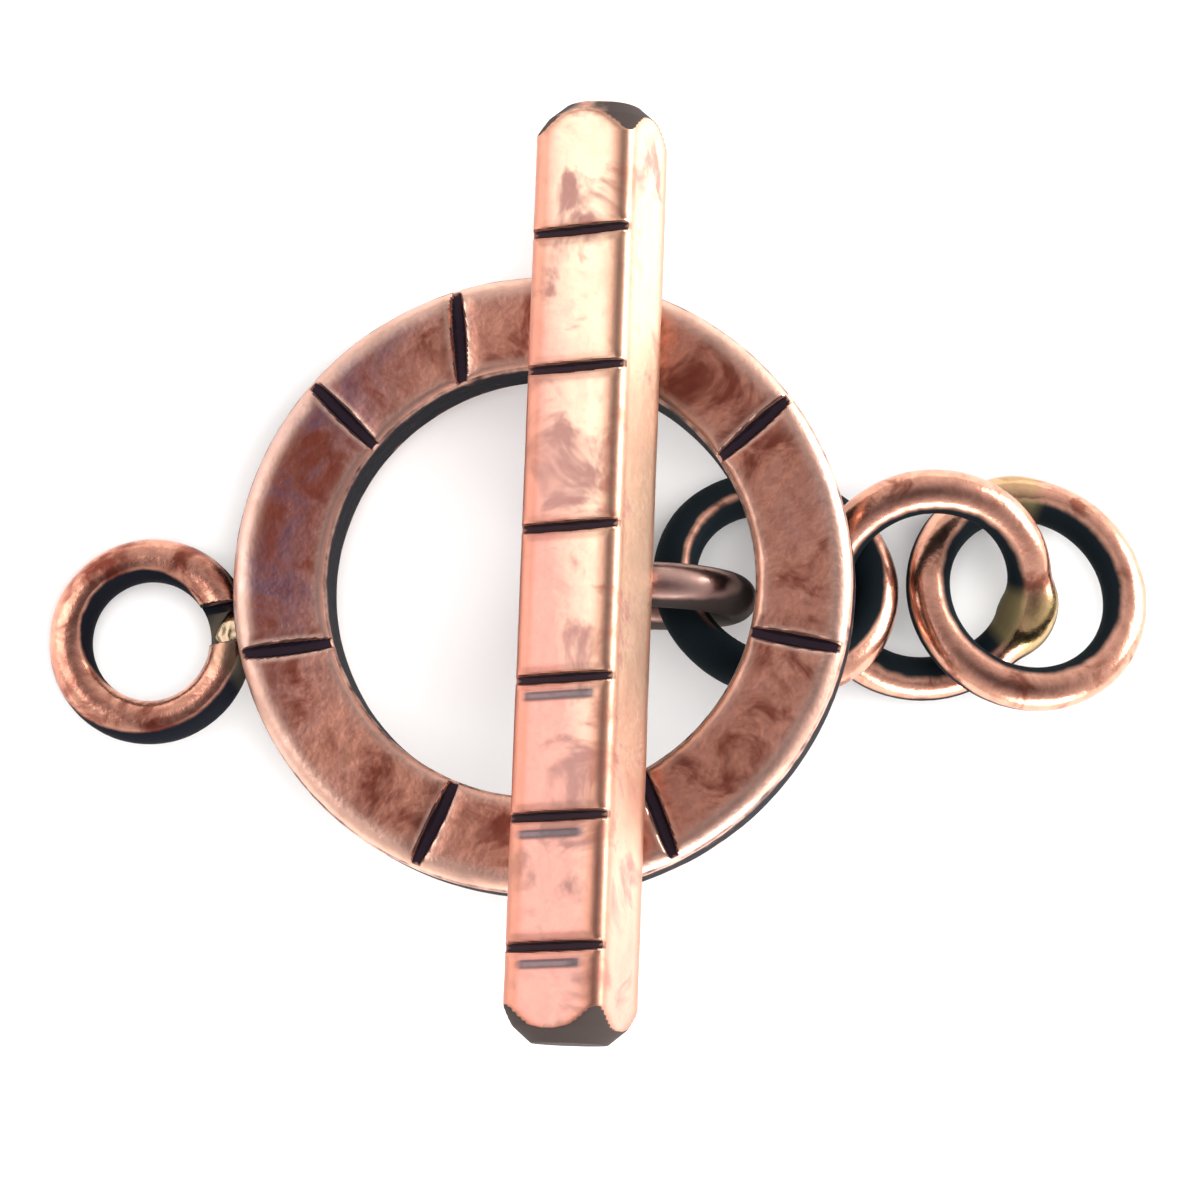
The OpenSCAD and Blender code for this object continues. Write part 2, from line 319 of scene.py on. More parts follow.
# %% Group: dents, and where the skin is hollow or proud
def worn_skin_group():
    tree, given = new_tree("worn_skin", {
        "Metal": None, "Flat": 0.0, "Dent Size": 0.0, "Dent Depth": 0.0, "Seed": 0.0}, {"Metal": None})
    metal = given["Metal"]
    outward = add(tree, "GeometryNodeInputNormal")
    place = add(tree, POSITION)

    for size_share, depth_share in ((1.0, 1.0), (0.3, 0.28)):
        size = add(tree, MATH, {0: given["Dent Size"], 1: size_share}, operation="MULTIPLY")
        per_mm = add(tree, MATH, {0: 1.0, 1: size}, operation="DIVIDE")
        noise = add(tree, NOISE, {"Vector": place, "W": given["Seed"], "Scale": per_mm, "Detail": 1.0},
                    noise_dimensions="4D")
        centred = add(tree, MATH, {0: noise.outputs[0], 1: 0.5}, operation="SUBTRACT")
        depth = add(tree, MATH, {0: given["Dent Depth"], 1: 2 * depth_share}, operation="MULTIPLY")
        push = add(tree, MATH, {0: centred, 1: depth}, operation="MULTIPLY")
        offset = add(tree, VECTOR_MATH, {0: outward, "Scale": push}, operation="SCALE")
        metal = add(tree, SET_POSITION, {"Geometry": metal, "Offset": offset})

    # A point that lies outside the average of its neighbours is proud, and one that lies inside it is
    # hollow. Round wire is proud all over, so this counts where the metal is flat.
    metal = add(tree, "GeometryNodeStoreNamedAttribute",
                {"Geometry": metal, "Name": "flat", "Value": given["Flat"]},
                data_type="FLOAT", domain="POINT")
    for label, rounds, sign, full in (("proud", 6, 1, 0.016), ("hollow", 14, -1, 0.03)):
        around = add(tree, "GeometryNodeBlurAttribute", {"Value": place, "Iterations": rounds},
                     data_type="FLOAT_VECTOR")
        stand = add(tree, VECTOR_MATH, {0: place, 1: around}, operation="SUBTRACT")
        height = add(tree, VECTOR_MATH, {0: stand, 1: outward}, operation="DOT_PRODUCT")
        share = add(tree, MAP_RANGE, {"Value": height.outputs["Value"], "From Max": sign * full})
        share = add(tree, MATH, {0: share, 1: given["Flat"]}, operation="MULTIPLY")
        metal = add(tree, "GeometryNodeStoreNamedAttribute",
                    {"Geometry": metal, "Name": label, "Value": share}, data_type="FLOAT", domain="POINT")
    add(tree, "NodeGroupOutput", {0: metal})
    return tree


WORN_SKIN = worn_skin_group()
DENTS = ("Dent Size", "Dent Depth", "Seed")
print("worn skin group:", len(WORN_SKIN.nodes), "nodes")


# %% Painted shade: skin that faces away from the light
def shaded_side(tree, lit_from, bright, dark):
    """Painted shade: 0 on skin that faces the light by more than bright, 1 on skin that faces it by less than
    dark.
    """
    outward = add(tree, "GeometryNodeInputNormal")
    light_way = add(tree, VECTOR_MATH, {0: lit_from}, operation="NORMALIZE")
    facing = add(tree, VECTOR_MATH, {0: outward, 1: light_way}, operation="DOT_PRODUCT")
    return add(tree, MAP_RANGE, {"Value": facing.outputs["Value"], "From Min": bright, "From Max": dark},
               interpolation_type="SMOOTHSTEP")


# %% [markdown]
# ## The toggle ring
# The real ring is square copper wire bent to a circle and soldered shut. It could be a torus with a square
# section, but a curve swept by a rounded square keeps the crisp inner edge and the soft outer one, and its
# points stay even all the way round, which the file marks and the wear need. The end loop is round wire:
# its one arm runs into the solder on the rim and the other ends in a flat cut just above. Booleans join the
# loop and the lump of solder to the ring, because soldered metal is one body.

# %% Square wire: a rounded rectangle with points on its flats
FLAT_STEP = 0.13


def square_wire(tree, width, height, round_out, round_in, corner_points):
    """Profile curve. Its +X side has corners of round_out, and its -X side has corners of round_in."""
    plain = add(tree, "GeometryNodeCurvePrimitiveQuadrilateral", {"Width": width, "Height": height})
    place = add(tree, POSITION)
    parts = add(tree, "ShaderNodeSeparateXYZ", {0: place})
    outer = add(tree, MATH, {0: parts.outputs[0], 1: 0.0}, operation="GREATER_THAN")
    radius = add(tree, MIX, {0: outer, 2: round_in, 3: round_out}, data_type="FLOAT")
    rounded = add(tree, "GeometryNodeFilletCurve",
                  {"Curve": plain, "Radius": radius, "Limit Radius": True, "Count": corner_points},
                  mode="POLY")
    index = add(tree, "GeometryNodeInputIndex")
    count = add(tree, "GeometryNodeAttributeDomainSize", {0: rounded}, component="CURVE")
    following = add(tree, MATH, {0: index, 1: 1.0}, operation="ADD")
    following = add(tree, MATH, {0: following, 1: count.outputs["Point Count"]}, operation="MODULO")
    there = add(tree, "GeometryNodeFieldAtIndex", {"Value": place, "Index": following},
                data_type="FLOAT_VECTOR")
    length = add(tree, VECTOR_MATH, {0: there, 1: place}, operation="DISTANCE")
    cuts = add(tree, MATH, {0: length.outputs["Value"], 1: FLAT_STEP}, operation="DIVIDE")
    return add(tree, "GeometryNodeSubdivideCurve", {"Curve": rounded, "Cuts": cuts})


# %% Round wire bent to a closed ring
PATH_POINTS, SECTION_POINTS = 220, 40


def round_wire_ring(tree, radius, wire):
    """A ring of round wire that lies flat round the origin."""
    path = add(tree, CIRCLE, {"Resolution": PATH_POINTS, "Radius": radius})
    half_wire = add(tree, MATH, {0: wire, 1: 0.5}, operation="MULTIPLY")
    section = add(tree, CIRCLE, {"Resolution": SECTION_POINTS, "Radius": half_wire})
    return add(tree, "GeometryNodeCurveToMesh", {"Curve": path, "Profile Curve": section})


# %% Lines for the file: one edge for each mark
def file_lines(name, ends):
    """A mesh of loose edges, from pairs of end points in millimetres."""
    mesh = bpy.data.meshes.new(name)
    mesh.from_pydata([point for pair in ends for point in pair],
                     [(2 * i, 2 * i + 1) for i in range(len(ends))], [])
    return mesh


def ring_mark_ends(place, slant):
    """Both ends of a mark that crosses the middle of the ring's wire, slanted against the radius."""
    middle = Vector((cos(radians(place)), sin(radians(place)), 0)) * (RING_OUT + RING_IN) / 2
    along = Vector((cos(radians(place + slant)), sin(radians(place + slant)), 0)) * (RING_WIDTH / 2 + 0.3)
    face = Vector((0, 0, RING_THICK / 2))
    return [middle - along + face, middle + along + face]


ring_lines = file_lines("ring_lines", [ring_mark_ends(*mark) for mark in RING_MARKS])
print("file marks on the ring:", len(ring_lines.edges))


# %% The loop's flat cut and the solder, in the loop's own frame
CUT_Y, CUT_GAP = -LOOP_R * 0.33, LOOP_R * 0.5
NOTCH_SIZE = (LOOP_WIRE * 2, CUT_GAP, LOOP_WIRE)
NOTCH_AT = (-LOOP_R, CUT_Y + CUT_GAP / 2, LOOP_WIRE * 0.4)
SOLDER_AT, SOLDER_HALF = (-LOOP_R - 0.2, 0.35, -0.07), (0.62, 0.86, 0.42)

# %% Tree: ring, end loop, solder, marks, wear and painted shade
RING_RUN_OUT, RING_DIP = 0.7, 0.03
RING_EDGE = 1.02
SOLDER_FAR, SOLDER_NEAR = 0.5, 0.08


def toggle_ring_tree():
    tree, given = new_tree("toggle_ring", {
        "Lines": None, "Outer Diameter": RING_D, "Width": RING_WIDTH, "Thickness": RING_THICK,
        "Steps": 1040, "Mark Width": RING_MARK_WIDTH, "Mark Depth": RING_MARK_DEPTH,
        "Loop Radius": LOOP_R, "Loop Wire": LOOP_WIRE, "Loop Lit From": (-0.5, 0.6, 0.62),
        "Dent Size": 2.2, "Dent Depth": 0.022, "Seed": 3.0}, {"Metal": None})
    slim = add(tree, MATH, {0: given["Outer Diameter"], 1: given["Width"]}, operation="SUBTRACT")
    middle = add(tree, MATH, {0: slim, 1: 0.5}, operation="MULTIPLY")
    half_width = add(tree, MATH, {0: given["Width"], 1: 0.5}, operation="MULTIPLY")
    face = add(tree, MATH, {0: given["Thickness"], 1: 0.5}, operation="MULTIPLY")
    circle = add(tree, CIRCLE, {"Resolution": given["Steps"], "Radius": middle})
    wire = square_wire(tree, given["Width"], given["Thickness"], RING_OUTER_ROUND, RING_INNER_ROUND, 7)
    body = add(tree, "GeometryNodeCurveToMesh", {"Curve": circle, "Profile Curve": wire})

    place = add(tree, POSITION)
    flat_place = add(tree, VECTOR_MATH, {0: place, 1: (1, 1, 0)}, operation="MULTIPLY")
    radius = add(tree, VECTOR_MATH, {0: flat_place}, operation="LENGTH")
    from_middle = add(tree, MATH, {0: radius.outputs["Value"], 1: middle}, operation="SUBTRACT")
    across = add(tree, MATH, {0: from_middle, 1: half_width}, operation="DIVIDE")
    filed = add(tree, "GeometryNodeGroup", {
        "Metal": body, "Lines": given["Lines"], "Across": across, "Face Height": face,
        "Width": given["Mark Width"], "Depth": given["Mark Depth"], "Run Out": RING_RUN_OUT, "Dip": RING_DIP},
        node_tree=FILE_MARKS)

    # The loop, in its own frame: +X points away from the ring.
    loop = round_wire_ring(tree, given["Loop Radius"], given["Loop Wire"])
    notch = add(tree, "GeometryNodeMeshCube", {"Size": NOTCH_SIZE})
    notch = add(tree, TRANSFORM, {0: notch, "Translation": NOTCH_AT})
    open_loop = add(tree, "GeometryNodeMeshBoolean", {"Mesh 1": loop, "Mesh 2": notch},
                    operation="DIFFERENCE", solver="MANIFOLD")
    lump = add(tree, "GeometryNodeMeshIcoSphere", {"Radius": 1.0, "Subdivisions": 5})
    lump = add(tree, TRANSFORM, {0: lump, "Translation": SOLDER_AT, "Scale": SOLDER_HALF})
    bumps = add(tree, NOISE, {"Vector": place, "Scale": 1.6, "Detail": 1.0})
    uneven = add(tree, MATH, {0: bumps.outputs[0], 1: 0.5}, operation="SUBTRACT")
    uneven = add(tree, MATH, {0: uneven, 1: 0.5}, operation="MULTIPLY")
    outward = add(tree, "GeometryNodeInputNormal")
    push = add(tree, VECTOR_MATH, {0: outward, "Scale": uneven}, operation="SCALE")
    lump = add(tree, SET_POSITION, {"Geometry": lump, "Offset": push})
    to_rim = {"Translation": (LOOP_D * cos(radians(LOOP_TURN)), LOOP_D * sin(radians(LOOP_TURN)), 0),
              "Rotation": (0, 0, radians(LOOP_TURN))}
    open_loop = add(tree, TRANSFORM, {0: open_loop, **to_rim})
    lump = add(tree, TRANSFORM, {0: lump, **to_rim})
    whole = add(tree, "GeometryNodeMeshBoolean", {"Mesh 2": [filed.outputs[0], open_loop, lump]},
                operation="UNION", solver="MANIFOLD")
    on_ring = add(tree, MATH, {0: across, 1: RING_EDGE}, operation="LESS_THAN")
    dents = {key: given[key] for key in DENTS}
    worn = add(tree, "GeometryNodeGroup", {"Metal": whole, "Flat": on_ring, **dents}, node_tree=WORN_SKIN)

    # Patina and painted shade: the ring's inner wall, its outer walls and underside, the loop's sides that
    # face away from the light and the loop's cut end are darkened, partly as patina and partly as painted
    # shade.
    around = add(tree, VECTOR_MATH, {0: flat_place}, operation="NORMALIZE")
    facing_out = add(tree, VECTOR_MATH, {0: outward, 1: around}, operation="DOT_PRODUCT")
    inward = add(tree, MAP_RANGE, {"Value": facing_out.outputs["Value"], "From Min": -0.55,
                                   "From Max": -0.9})
    inward = add(tree, MATH, {0: inward, 1: on_ring}, operation="MULTIPLY")
    walls = shaded_side(tree, (0.0, 0.0, 1.0), bright=0.42, dark=0.1)
    body_shade_and_patina = add(tree, MATH, {0: inward, 1: walls}, operation="MAXIMUM")
    loop_shade_and_patina = shaded_side(tree, given["Loop Lit From"], bright=0.42, dark=0.06)
    notch = add(tree, TRANSFORM, {0: notch, **to_rim})
    near_notch = add(tree, "GeometryNodeProximity", {0: notch}, target_element="FACES")
    in_notch = add(tree, MATH, {0: near_notch.outputs["Distance"], 1: 0.02}, operation="LESS_THAN")
    loop_shade_and_patina = add(tree, MATH, {0: loop_shade_and_patina, 1: in_notch}, operation="MAXIMUM")
    shelter = add(tree, MIX, {0: on_ring, 2: loop_shade_and_patina, 3: body_shade_and_patina}, data_type="FLOAT")
    near_lump = add(tree, "GeometryNodeProximity", {0: lump}, target_element="FACES")
    solder = add(tree, MAP_RANGE, {"Value": near_lump.outputs["Distance"], "From Min": SOLDER_FAR,
                                   "From Max": SOLDER_NEAR})
    off_ring = add(tree, MATH, {0: 1.0, 1: on_ring}, operation="SUBTRACT")
    solder = add(tree, MATH, {0: solder, 1: off_ring}, operation="MULTIPLY")
    mark = add(tree, MATH, {0: filed.outputs["Mark"], 1: on_ring}, operation="MULTIPLY")
    close_tree(tree, worn, shelter=shelter, mark=mark, solder=solder)
    return tree


toggle_ring = grow("toggle_ring_metal", toggle_ring_tree(), ring_lines, LIE["toggle_ring"])


# %% [markdown]
# ## The toggle bar
# The bar is a straight length of the same kind of square wire. Both ends were ground to a blunt cone on a
# wheel, so the flats end in arches. Cutting a box with a cone would give the same outline, but a grid
# rolled up round the bar's section lets one rule pull each point in to the cone, and keeps even points for
# the file marks. The eye under it is a ring of round wire on a short neck, soldered on.

# %% Lines for the file, and three faint slips of the file
bar_face = BAR_SIDE / 2
skew = tan(radians(BAR_MARK_SKEW))
bar_lines = file_lines("bar_lines", [
    [(x, share * BAR_LENGTH / 2 + x * skew, bar_face) for x in (-BAR_SIDE, BAR_SIDE)]
    for share in BAR_MARKS])
SLIP_BELOW, SLIP_WIDTH, SLIP_DEPTH = 0.42, 0.24, 0.03
SLIPS = ((0, -0.8, 0.7), (1, -0.95, 0.6), (2, -0.9, 0.8))
slip_lines = file_lines("slip_lines", [
    [(x, BAR_MARKS[i] * BAR_LENGTH / 2 + x * skew - SLIP_BELOW, bar_face) for x in (start, end)]
    for i, start, end in SLIPS])
slip_host = bpy.data.objects.new("slip_lines", slip_lines)
print("file marks on the bar:", len(bar_lines.edges), "slips:", len(slip_lines.edges))

# %% Tree: bar, eye, neck, marks, wear and painted shade
CAP = 0.5
BAR_RUN_OUT, BAR_DIP = 0.35, 0.05
# The tip turns steeper at a share of its length. The radius there, and where the cone starts, are shares of
# the side.
TIP_SHOULDER, SHOULDER_RADIUS, CONE_RADIUS, UNLIMITED = 0.34, 0.53, 0.72, 9.0
LOWER_TIP_BLACK, CORNER_BLACK, UPPER_TIP_BLACK = 1.7, 2.0, 0.5


def toggle_bar_tree():
    tree, given = new_tree("toggle_bar", {
        "Lines": None, "Length": BAR_LENGTH, "Side": BAR_SIDE, "Rounding": BAR_ROUND,
        "Tip Length": TIP_LENGTH, "Tip Flat": TIP_FLAT_D, "Rows": 800,
        "Mark Width": BAR_MARK_WIDTH, "Mark Depth": BAR_MARK_DEPTH,
        "Eye Radius": EYE_R, "Eye Wire": EYE_WIRE, "Eye Drop": eye_drop, "Neck": NECK_D,
        "Eye Lit From": (0.3, 0.25, 1.0), "Dent Size": 2.0, "Dent Depth": 0.018,
        "Seed": 11.0}, {"Metal": None})
    half_length = add(tree, MATH, {0: given["Length"], 1: 0.5}, operation="MULTIPLY")
    half_side = add(tree, MATH, {0: given["Side"], 1: 0.5}, operation="MULTIPLY")
    profile = square_wire(tree, given["Side"], given["Side"], given["Rounding"], given["Rounding"], 6)
    around_count = 76
    grid = add(tree, "GeometryNodeMeshGrid", {"Size X": 1.0, "Size Y": 1.0, "Vertices X": around_count,
                                              "Vertices Y": given["Rows"]})
    place = add(tree, POSITION)
    at_x, at_y, at_z = add(tree, "ShaderNodeSeparateXYZ", {0: place}).outputs
    share = add(tree, MATH, {0: 0.5, 1: at_x}, operation="SUBTRACT")
    on_profile = add(tree, "GeometryNodeSampleCurve", {"Curves": profile, "Factor": share}, mode="FACTOR")
    section = add(tree, "ShaderNodeSeparateXYZ", {0: on_profile.outputs["Position"]})

    # Rows run along Y, and the last ones at each end close the flat of the tip.
    run = add(tree, MATH, {0: given["Length"], 1: 2 * CAP}, operation="ADD")
    along = add(tree, MATH, {0: at_y, 1: run}, operation="MULTIPLY")
    reach_out = add(tree, MATH, {0: along}, operation="ABSOLUTE")
    y = add(tree, "ShaderNodeClamp", {"Value": along, "Min": -BAR_LENGTH / 2, "Max": BAR_LENGTH / 2})
    past = add(tree, MATH, {0: reach_out, 1: half_length}, operation="SUBTRACT")
    close = add(tree, MAP_RANGE, {"Value": past, "From Max": CAP, "To Min": 1.0, "To Max": 0.0})

    # The cone: the widest that a point may be, by its distance from the end.
    from_end = add(tree, MATH, {0: half_length, 1: reach_out}, operation="SUBTRACT")
    shoulder = add(tree, MATH, {0: given["Tip Length"], 1: TIP_SHOULDER}, operation="MULTIPLY")
    tip_radius = add(tree, MATH, {0: given["Tip Flat"], 1: 0.5}, operation="MULTIPLY")
    bevel_radius = add(tree, MATH, {0: given["Side"], 1: SHOULDER_RADIUS}, operation="MULTIPLY")
    full_radius = add(tree, MATH, {0: given["Side"], 1: CONE_RADIUS}, operation="MULTIPLY")
    bevel = add(tree, MAP_RANGE, {"Value": from_end, "From Max": shoulder, "To Min": tip_radius,
                                  "To Max": bevel_radius})
    cone = add(tree, MAP_RANGE, {"Value": from_end, "From Min": shoulder, "From Max": given["Tip Length"],
                                 "To Min": bevel_radius, "To Max": full_radius})
    in_bevel = add(tree, MATH, {0: from_end, 1: shoulder}, operation="LESS_THAN")
    widest = add(tree, MIX, {0: in_bevel, 2: cone, 3: bevel}, data_type="FLOAT")
    beyond = add(tree, MATH, {0: from_end, 1: given["Tip Length"]}, operation="GREATER_THAN")
    widest = add(tree, MIX, {0: beyond, 2: widest, 3: UNLIMITED}, data_type="FLOAT")
    own = add(tree, VECTOR_MATH, {0: on_profile.outputs["Position"]}, operation="LENGTH")
    held = add(tree, MATH, {0: widest, 1: own.outputs["Value"]}, operation="DIVIDE")
    held = add(tree, MATH, {0: held, 1: 1.0}, operation="MINIMUM")
    shrink = add(tree, MATH, {0: held, 1: close}, operation="MULTIPLY")
    x = add(tree, MATH, {0: section.outputs[0], 1: shrink}, operation="MULTIPLY")
    z = add(tree, MATH, {0: section.outputs[1], 1: shrink}, operation="MULTIPLY")
    rolled = add(tree, "ShaderNodeCombineXYZ", {0: x, 1: y, 2: z})
    bar = add(tree, SET_POSITION, {"Geometry": grid, "Position": rolled})
    bar = add(tree, "GeometryNodeMergeByDistance", {"Geometry": bar, "Distance": 0.004})

    across = add(tree, MATH, {0: at_x, 1: half_side}, operation="DIVIDE")
    filed = add(tree, "GeometryNodeGroup", {
        "Metal": bar, "Lines": given["Lines"], "Across": across, "Face Height": half_side,
        "Width": given["Mark Width"], "Depth": given["Mark Depth"], "Run Out": BAR_RUN_OUT, "Dip": BAR_DIP},
        node_tree=FILE_MARKS)
    slips = add(tree, "GeometryNodeObjectInfo", {"Object": slip_host}, transform_space="ORIGINAL")
    slipped = add(tree, "GeometryNodeGroup", {
        "Metal": filed, "Lines": slips.outputs["Geometry"], "Across": 0.0, "Face Height": half_side,
        "Width": SLIP_WIDTH, "Depth": SLIP_DEPTH, "Run Out": 0.0, "Dip": 0.0}, node_tree=FILE_MARKS)

    # The eye stands across the bar, on its neck and a small cone of solder.
    eye = round_wire_ring(tree, given["Eye Radius"], given["Eye Wire"])
    drop = add(tree, MATH, {0: given["Eye Drop"], 1: -1.0}, operation="MULTIPLY")
    hung = add(tree, "ShaderNodeCombineXYZ", {2: drop})
    eye = add(tree, TRANSFORM, {0: eye, "Translation": hung, "Rotation": (radians(90), 0, 0)})
    neck_r = add(tree, MATH, {0: given["Neck"], 1: 0.5}, operation="MULTIPLY")
    neck_top = -BAR_SIDE / 4
    neck_low = -eye_drop + EYE_R
    neck = add(tree, "GeometryNodeMeshCylinder", {"Vertices": 48, "Radius": neck_r,
                                                  "Depth": neck_top - neck_low})
    neck = add(tree, TRANSFORM, {0: neck, "Translation": (0, 0, (neck_top + neck_low) / 2)})
    foot_r = add(tree, MATH, {0: given["Neck"], 1: 0.9}, operation="MULTIPLY")
    foot = add(tree, "GeometryNodeMeshCone", {"Vertices": 48, "Radius Top": foot_r,
                                              "Radius Bottom": neck_r, "Depth": NECK_D * 0.5})
    foot_z = -BAR_SIDE / 2 - NECK_D * 0.3
    foot = add(tree, TRANSFORM, {0: foot, "Translation": (0, 0, foot_z)})
    whole = add(tree, "GeometryNodeMeshBoolean", {"Mesh 2": [slipped.outputs[0], eye, neck, foot]},
                operation="UNION", solver="MANIFOLD")
    on_bar = add(tree, MATH, {0: at_z, 1: -BAR_SIDE / 2 - 0.1}, operation="GREATER_THAN")
    dents = {key: given[key] for key in DENTS}
    worn = add(tree, "GeometryNodeGroup", {"Metal": whole, "Flat": on_bar, **dents}, node_tree=WORN_SKIN)

    # Patina and painted shade: the underside, the neck and the eye's sides that face away from the light are
    # darkened.
    outward = add(tree, "GeometryNodeInputNormal")
    normal_parts = add(tree, "ShaderNodeSeparateXYZ", {0: outward})
    under = shaded_side(tree, (0.0, 0.0, 1.0), bright=-0.3, dark=-0.9)
    sides = shaded_side(tree, given["Eye Lit From"], bright=0.8, dark=0.3)
    shelter = add(tree, MIX, {0: on_bar, 2: sides, 3: under}, data_type="FLOAT")
    far = add(tree, MATH, {0: at_y}, operation="ABSOLUTE")
    far = add(tree, MATH, {0: far, 1: BAR_LENGTH / 2 - TIP_LENGTH}, operation="GREATER_THAN")
    normal_y = add(tree, MATH, {0: normal_parts.outputs[1]}, operation="ABSOLUTE")
    tipped = add(tree, MAP_RANGE, {"Value": normal_y, "From Min": 0.1, "From Max": 0.4})
    # The lower tip stayed black all over, and the upper one only on its corners.
    corner = add(tree, MATH, {0: normal_parts.outputs[0]}, operation="ABSOLUTE")
    corner = add(tree, MATH, {0: corner, 1: CORNER_BLACK, 2: UPPER_TIP_BLACK}, operation="MULTIPLY_ADD")
    kept = add(tree, MAP_RANGE, {"Value": at_y, "From Min": -1.0, "From Max": 1.0,
                                 "To Min": LOWER_TIP_BLACK, "To Max": corner})
    tipped = add(tree, MATH, {0: tipped, 1: kept}, operation="MULTIPLY")
    tip = add(tree, MATH, {0: far, 1: tipped}, operation="MULTIPLY")
    close_tree(tree, worn, shelter=shelter, mark=filed.outputs["Mark"], slip=slipped.outputs["Mark"],
               tip=tip)
    return tree


toggle_bar = grow("toggle_bar_metal", toggle_bar_tree(), bar_lines, LIE["toggle_bar"])

# %% [markdown]
# ## The jump rings
# A jump ring is round wire wound on a rod, sawn through, closed and soldered. The middle one shows a plain
# bead of solder and the end one a low one, and the first hides its joint. They repeat, so one tree makes
# them all: a circle of wire whose radius swells and steps outward at the bead. Only the bead, the seed and
# the side that gets painted shade change.

# %% Tree: one jump ring
def jump_ring_tree():
    tree, given = new_tree("jump_ring", {
        "Radius": LINK_R, "Wire": LINK_WIRE, "Bead Angle": 0.0, "Bead Rise": BEAD_RISE,
        "Bead Length": 0.95, "Solder": 1.0, "Lit From": (0.0, 0.0, 1.0), "Bright": 0.2,
        "Dark": -0.4, "Dent Size": 1.6, "Dent Depth": 0.014, "Seed": 1.0}, {"Metal": None})
    path = add(tree, CIRCLE, {"Resolution": 260, "Radius": given["Radius"]})
    place = add(tree, POSITION)
    parts = add(tree, "ShaderNodeSeparateXYZ", {0: place})
    angle = add(tree, MATH, {0: parts.outputs[1], 1: parts.outputs[0]}, operation="ARCTAN2")
    turn = add(tree, MATH, {0: angle, 1: given["Bead Angle"]}, operation="SUBTRACT")
    turn = add(tree, MATH, {0: turn, 1: -pi, 2: pi}, operation="WRAP")
    away = add(tree, MATH, {0: turn, 1: given["Radius"]}, operation="MULTIPLY")
    away = add(tree, MATH, {0: away, 1: given["Bead Length"]}, operation="DIVIDE")
    away = add(tree, MATH, {0: away}, operation="ABSOLUTE")
    swell = add(tree, MAP_RANGE, {"Value": away, "From Min": 1.0, "From Max": 0.0, "To Max": 1.0},
                interpolation_type="SMOOTHERSTEP")
    half_wire = add(tree, MATH, {0: given["Wire"], 1: 0.5}, operation="MULTIPLY")
    rise = add(tree, MATH, {0: swell, 1: given["Bead Rise"]}, operation="MULTIPLY")
    thicker = add(tree, MATH, {0: rise, 1: 0.7, 2: half_wire}, operation="MULTIPLY_ADD")
    outward = add(tree, VECTOR_MATH, {0: place}, operation="NORMALIZE")
    step = add(tree, MATH, {0: rise, 1: 0.4}, operation="MULTIPLY")
    step = add(tree, VECTOR_MATH, {0: outward, "Scale": step}, operation="SCALE")
    path = add(tree, SET_POSITION, {"Geometry": path, "Offset": step})
    section = add(tree, CIRCLE, {"Resolution": SECTION_POINTS, "Radius": 1.0})
    ring = add(tree, "GeometryNodeCurveToMesh", {"Curve": path, "Profile Curve": section, "Scale": thicker})
    dents = {key: given[key] for key in DENTS}
    worn = add(tree, "GeometryNodeGroup", {"Metal": ring, "Flat": 0.0, **dents}, node_tree=WORN_SKIN)

    # Patina and painted shade: the side that looks into the ring's hole, and what faces away from the light,
    # are darkened.
    normal = add(tree, "GeometryNodeInputNormal")
    flat = add(tree, VECTOR_MATH, {0: place, 1: (1, 1, 0)}, operation="MULTIPLY")
    flat = add(tree, VECTOR_MATH, {0: flat}, operation="NORMALIZE")
    facing_out = add(tree, VECTOR_MATH, {0: normal, 1: flat}, operation="DOT_PRODUCT")
    inward = add(tree, MAP_RANGE, {"Value": facing_out.outputs["Value"], "From Min": -0.05,
                                   "From Max": -0.65})
    away = shaded_side(tree, given["Lit From"], given["Bright"], given["Dark"])
    shelter = add(tree, MATH, {0: inward, 1: away}, operation="MAXIMUM")
    solder = add(tree, MAP_RANGE, {"Value": swell, "From Min": 0.05, "From Max": 0.6,
                                   "To Max": given["Solder"]})
    close_tree(tree, worn, shelter=shelter, solder=solder)
    return tree


# %% Grow the three jump rings
BEAD_LOW = BEAD_RISE * 0.2
# Columns: bead angle, bead rise, bead length, solder, seed, the way the light comes from for the painted
# shade, and the facings at which that painted shade starts and is full.
JUMP_RINGS = {"bar_jump_ring": (70, 0.0, 0.95, 0.0, 21.0, (0.9, -0.5, 0.35), 0.68, 0.3),
              "middle_jump_ring": (-17, BEAD_RISE, 1.3, 0.9, 22.0, (-0.25, 0.65, 0.7), 0.35, -0.1),
              "end_jump_ring": (98, BEAD_LOW, 1.1, 0.6, 23.0, (0.35, -0.2, 0.9), 0.25, -0.25)}
link_tree = jump_ring_tree()
links = {}
for node, (bead, rise, length, solder, seed, light_way, bright, dark) in JUMP_RINGS.items():
    links[node] = grow(node + "_wire", link_tree, bpy.data.meshes.new(node + "_start"), LIE[node],
                       **{"Bead Angle": radians(bead), "Bead Rise": rise, "Bead Length": length,
                          "Solder": solder, "Seed": seed, "Lit From": light_way, "Bright": bright,
                          "Dark": dark})

# %% [markdown]
# ## The finish: antiqued copper
# The maker dips the copper in liver of sulphur, which turns it almost black, and then buffs it. Black-blue
# patina stays in the file marks, hollows and walls, thin oxide leaves red-brown clouds on the faces, and
# proud edges shine bare and pink. The same dark layer is also painted shade on walls, undersides, the sides
# of the rings' holes and the sides that face away from the light. One function makes the finish for all
# pieces from the measures that the trees stored, and each piece gets its own colours. The bar's are brighter
# than the ring's and the links', and part of that is painted light: its right side is painted pale as if
# lit from the right, and its rounded edges brown as a painted reflection of the dim sky overhead.

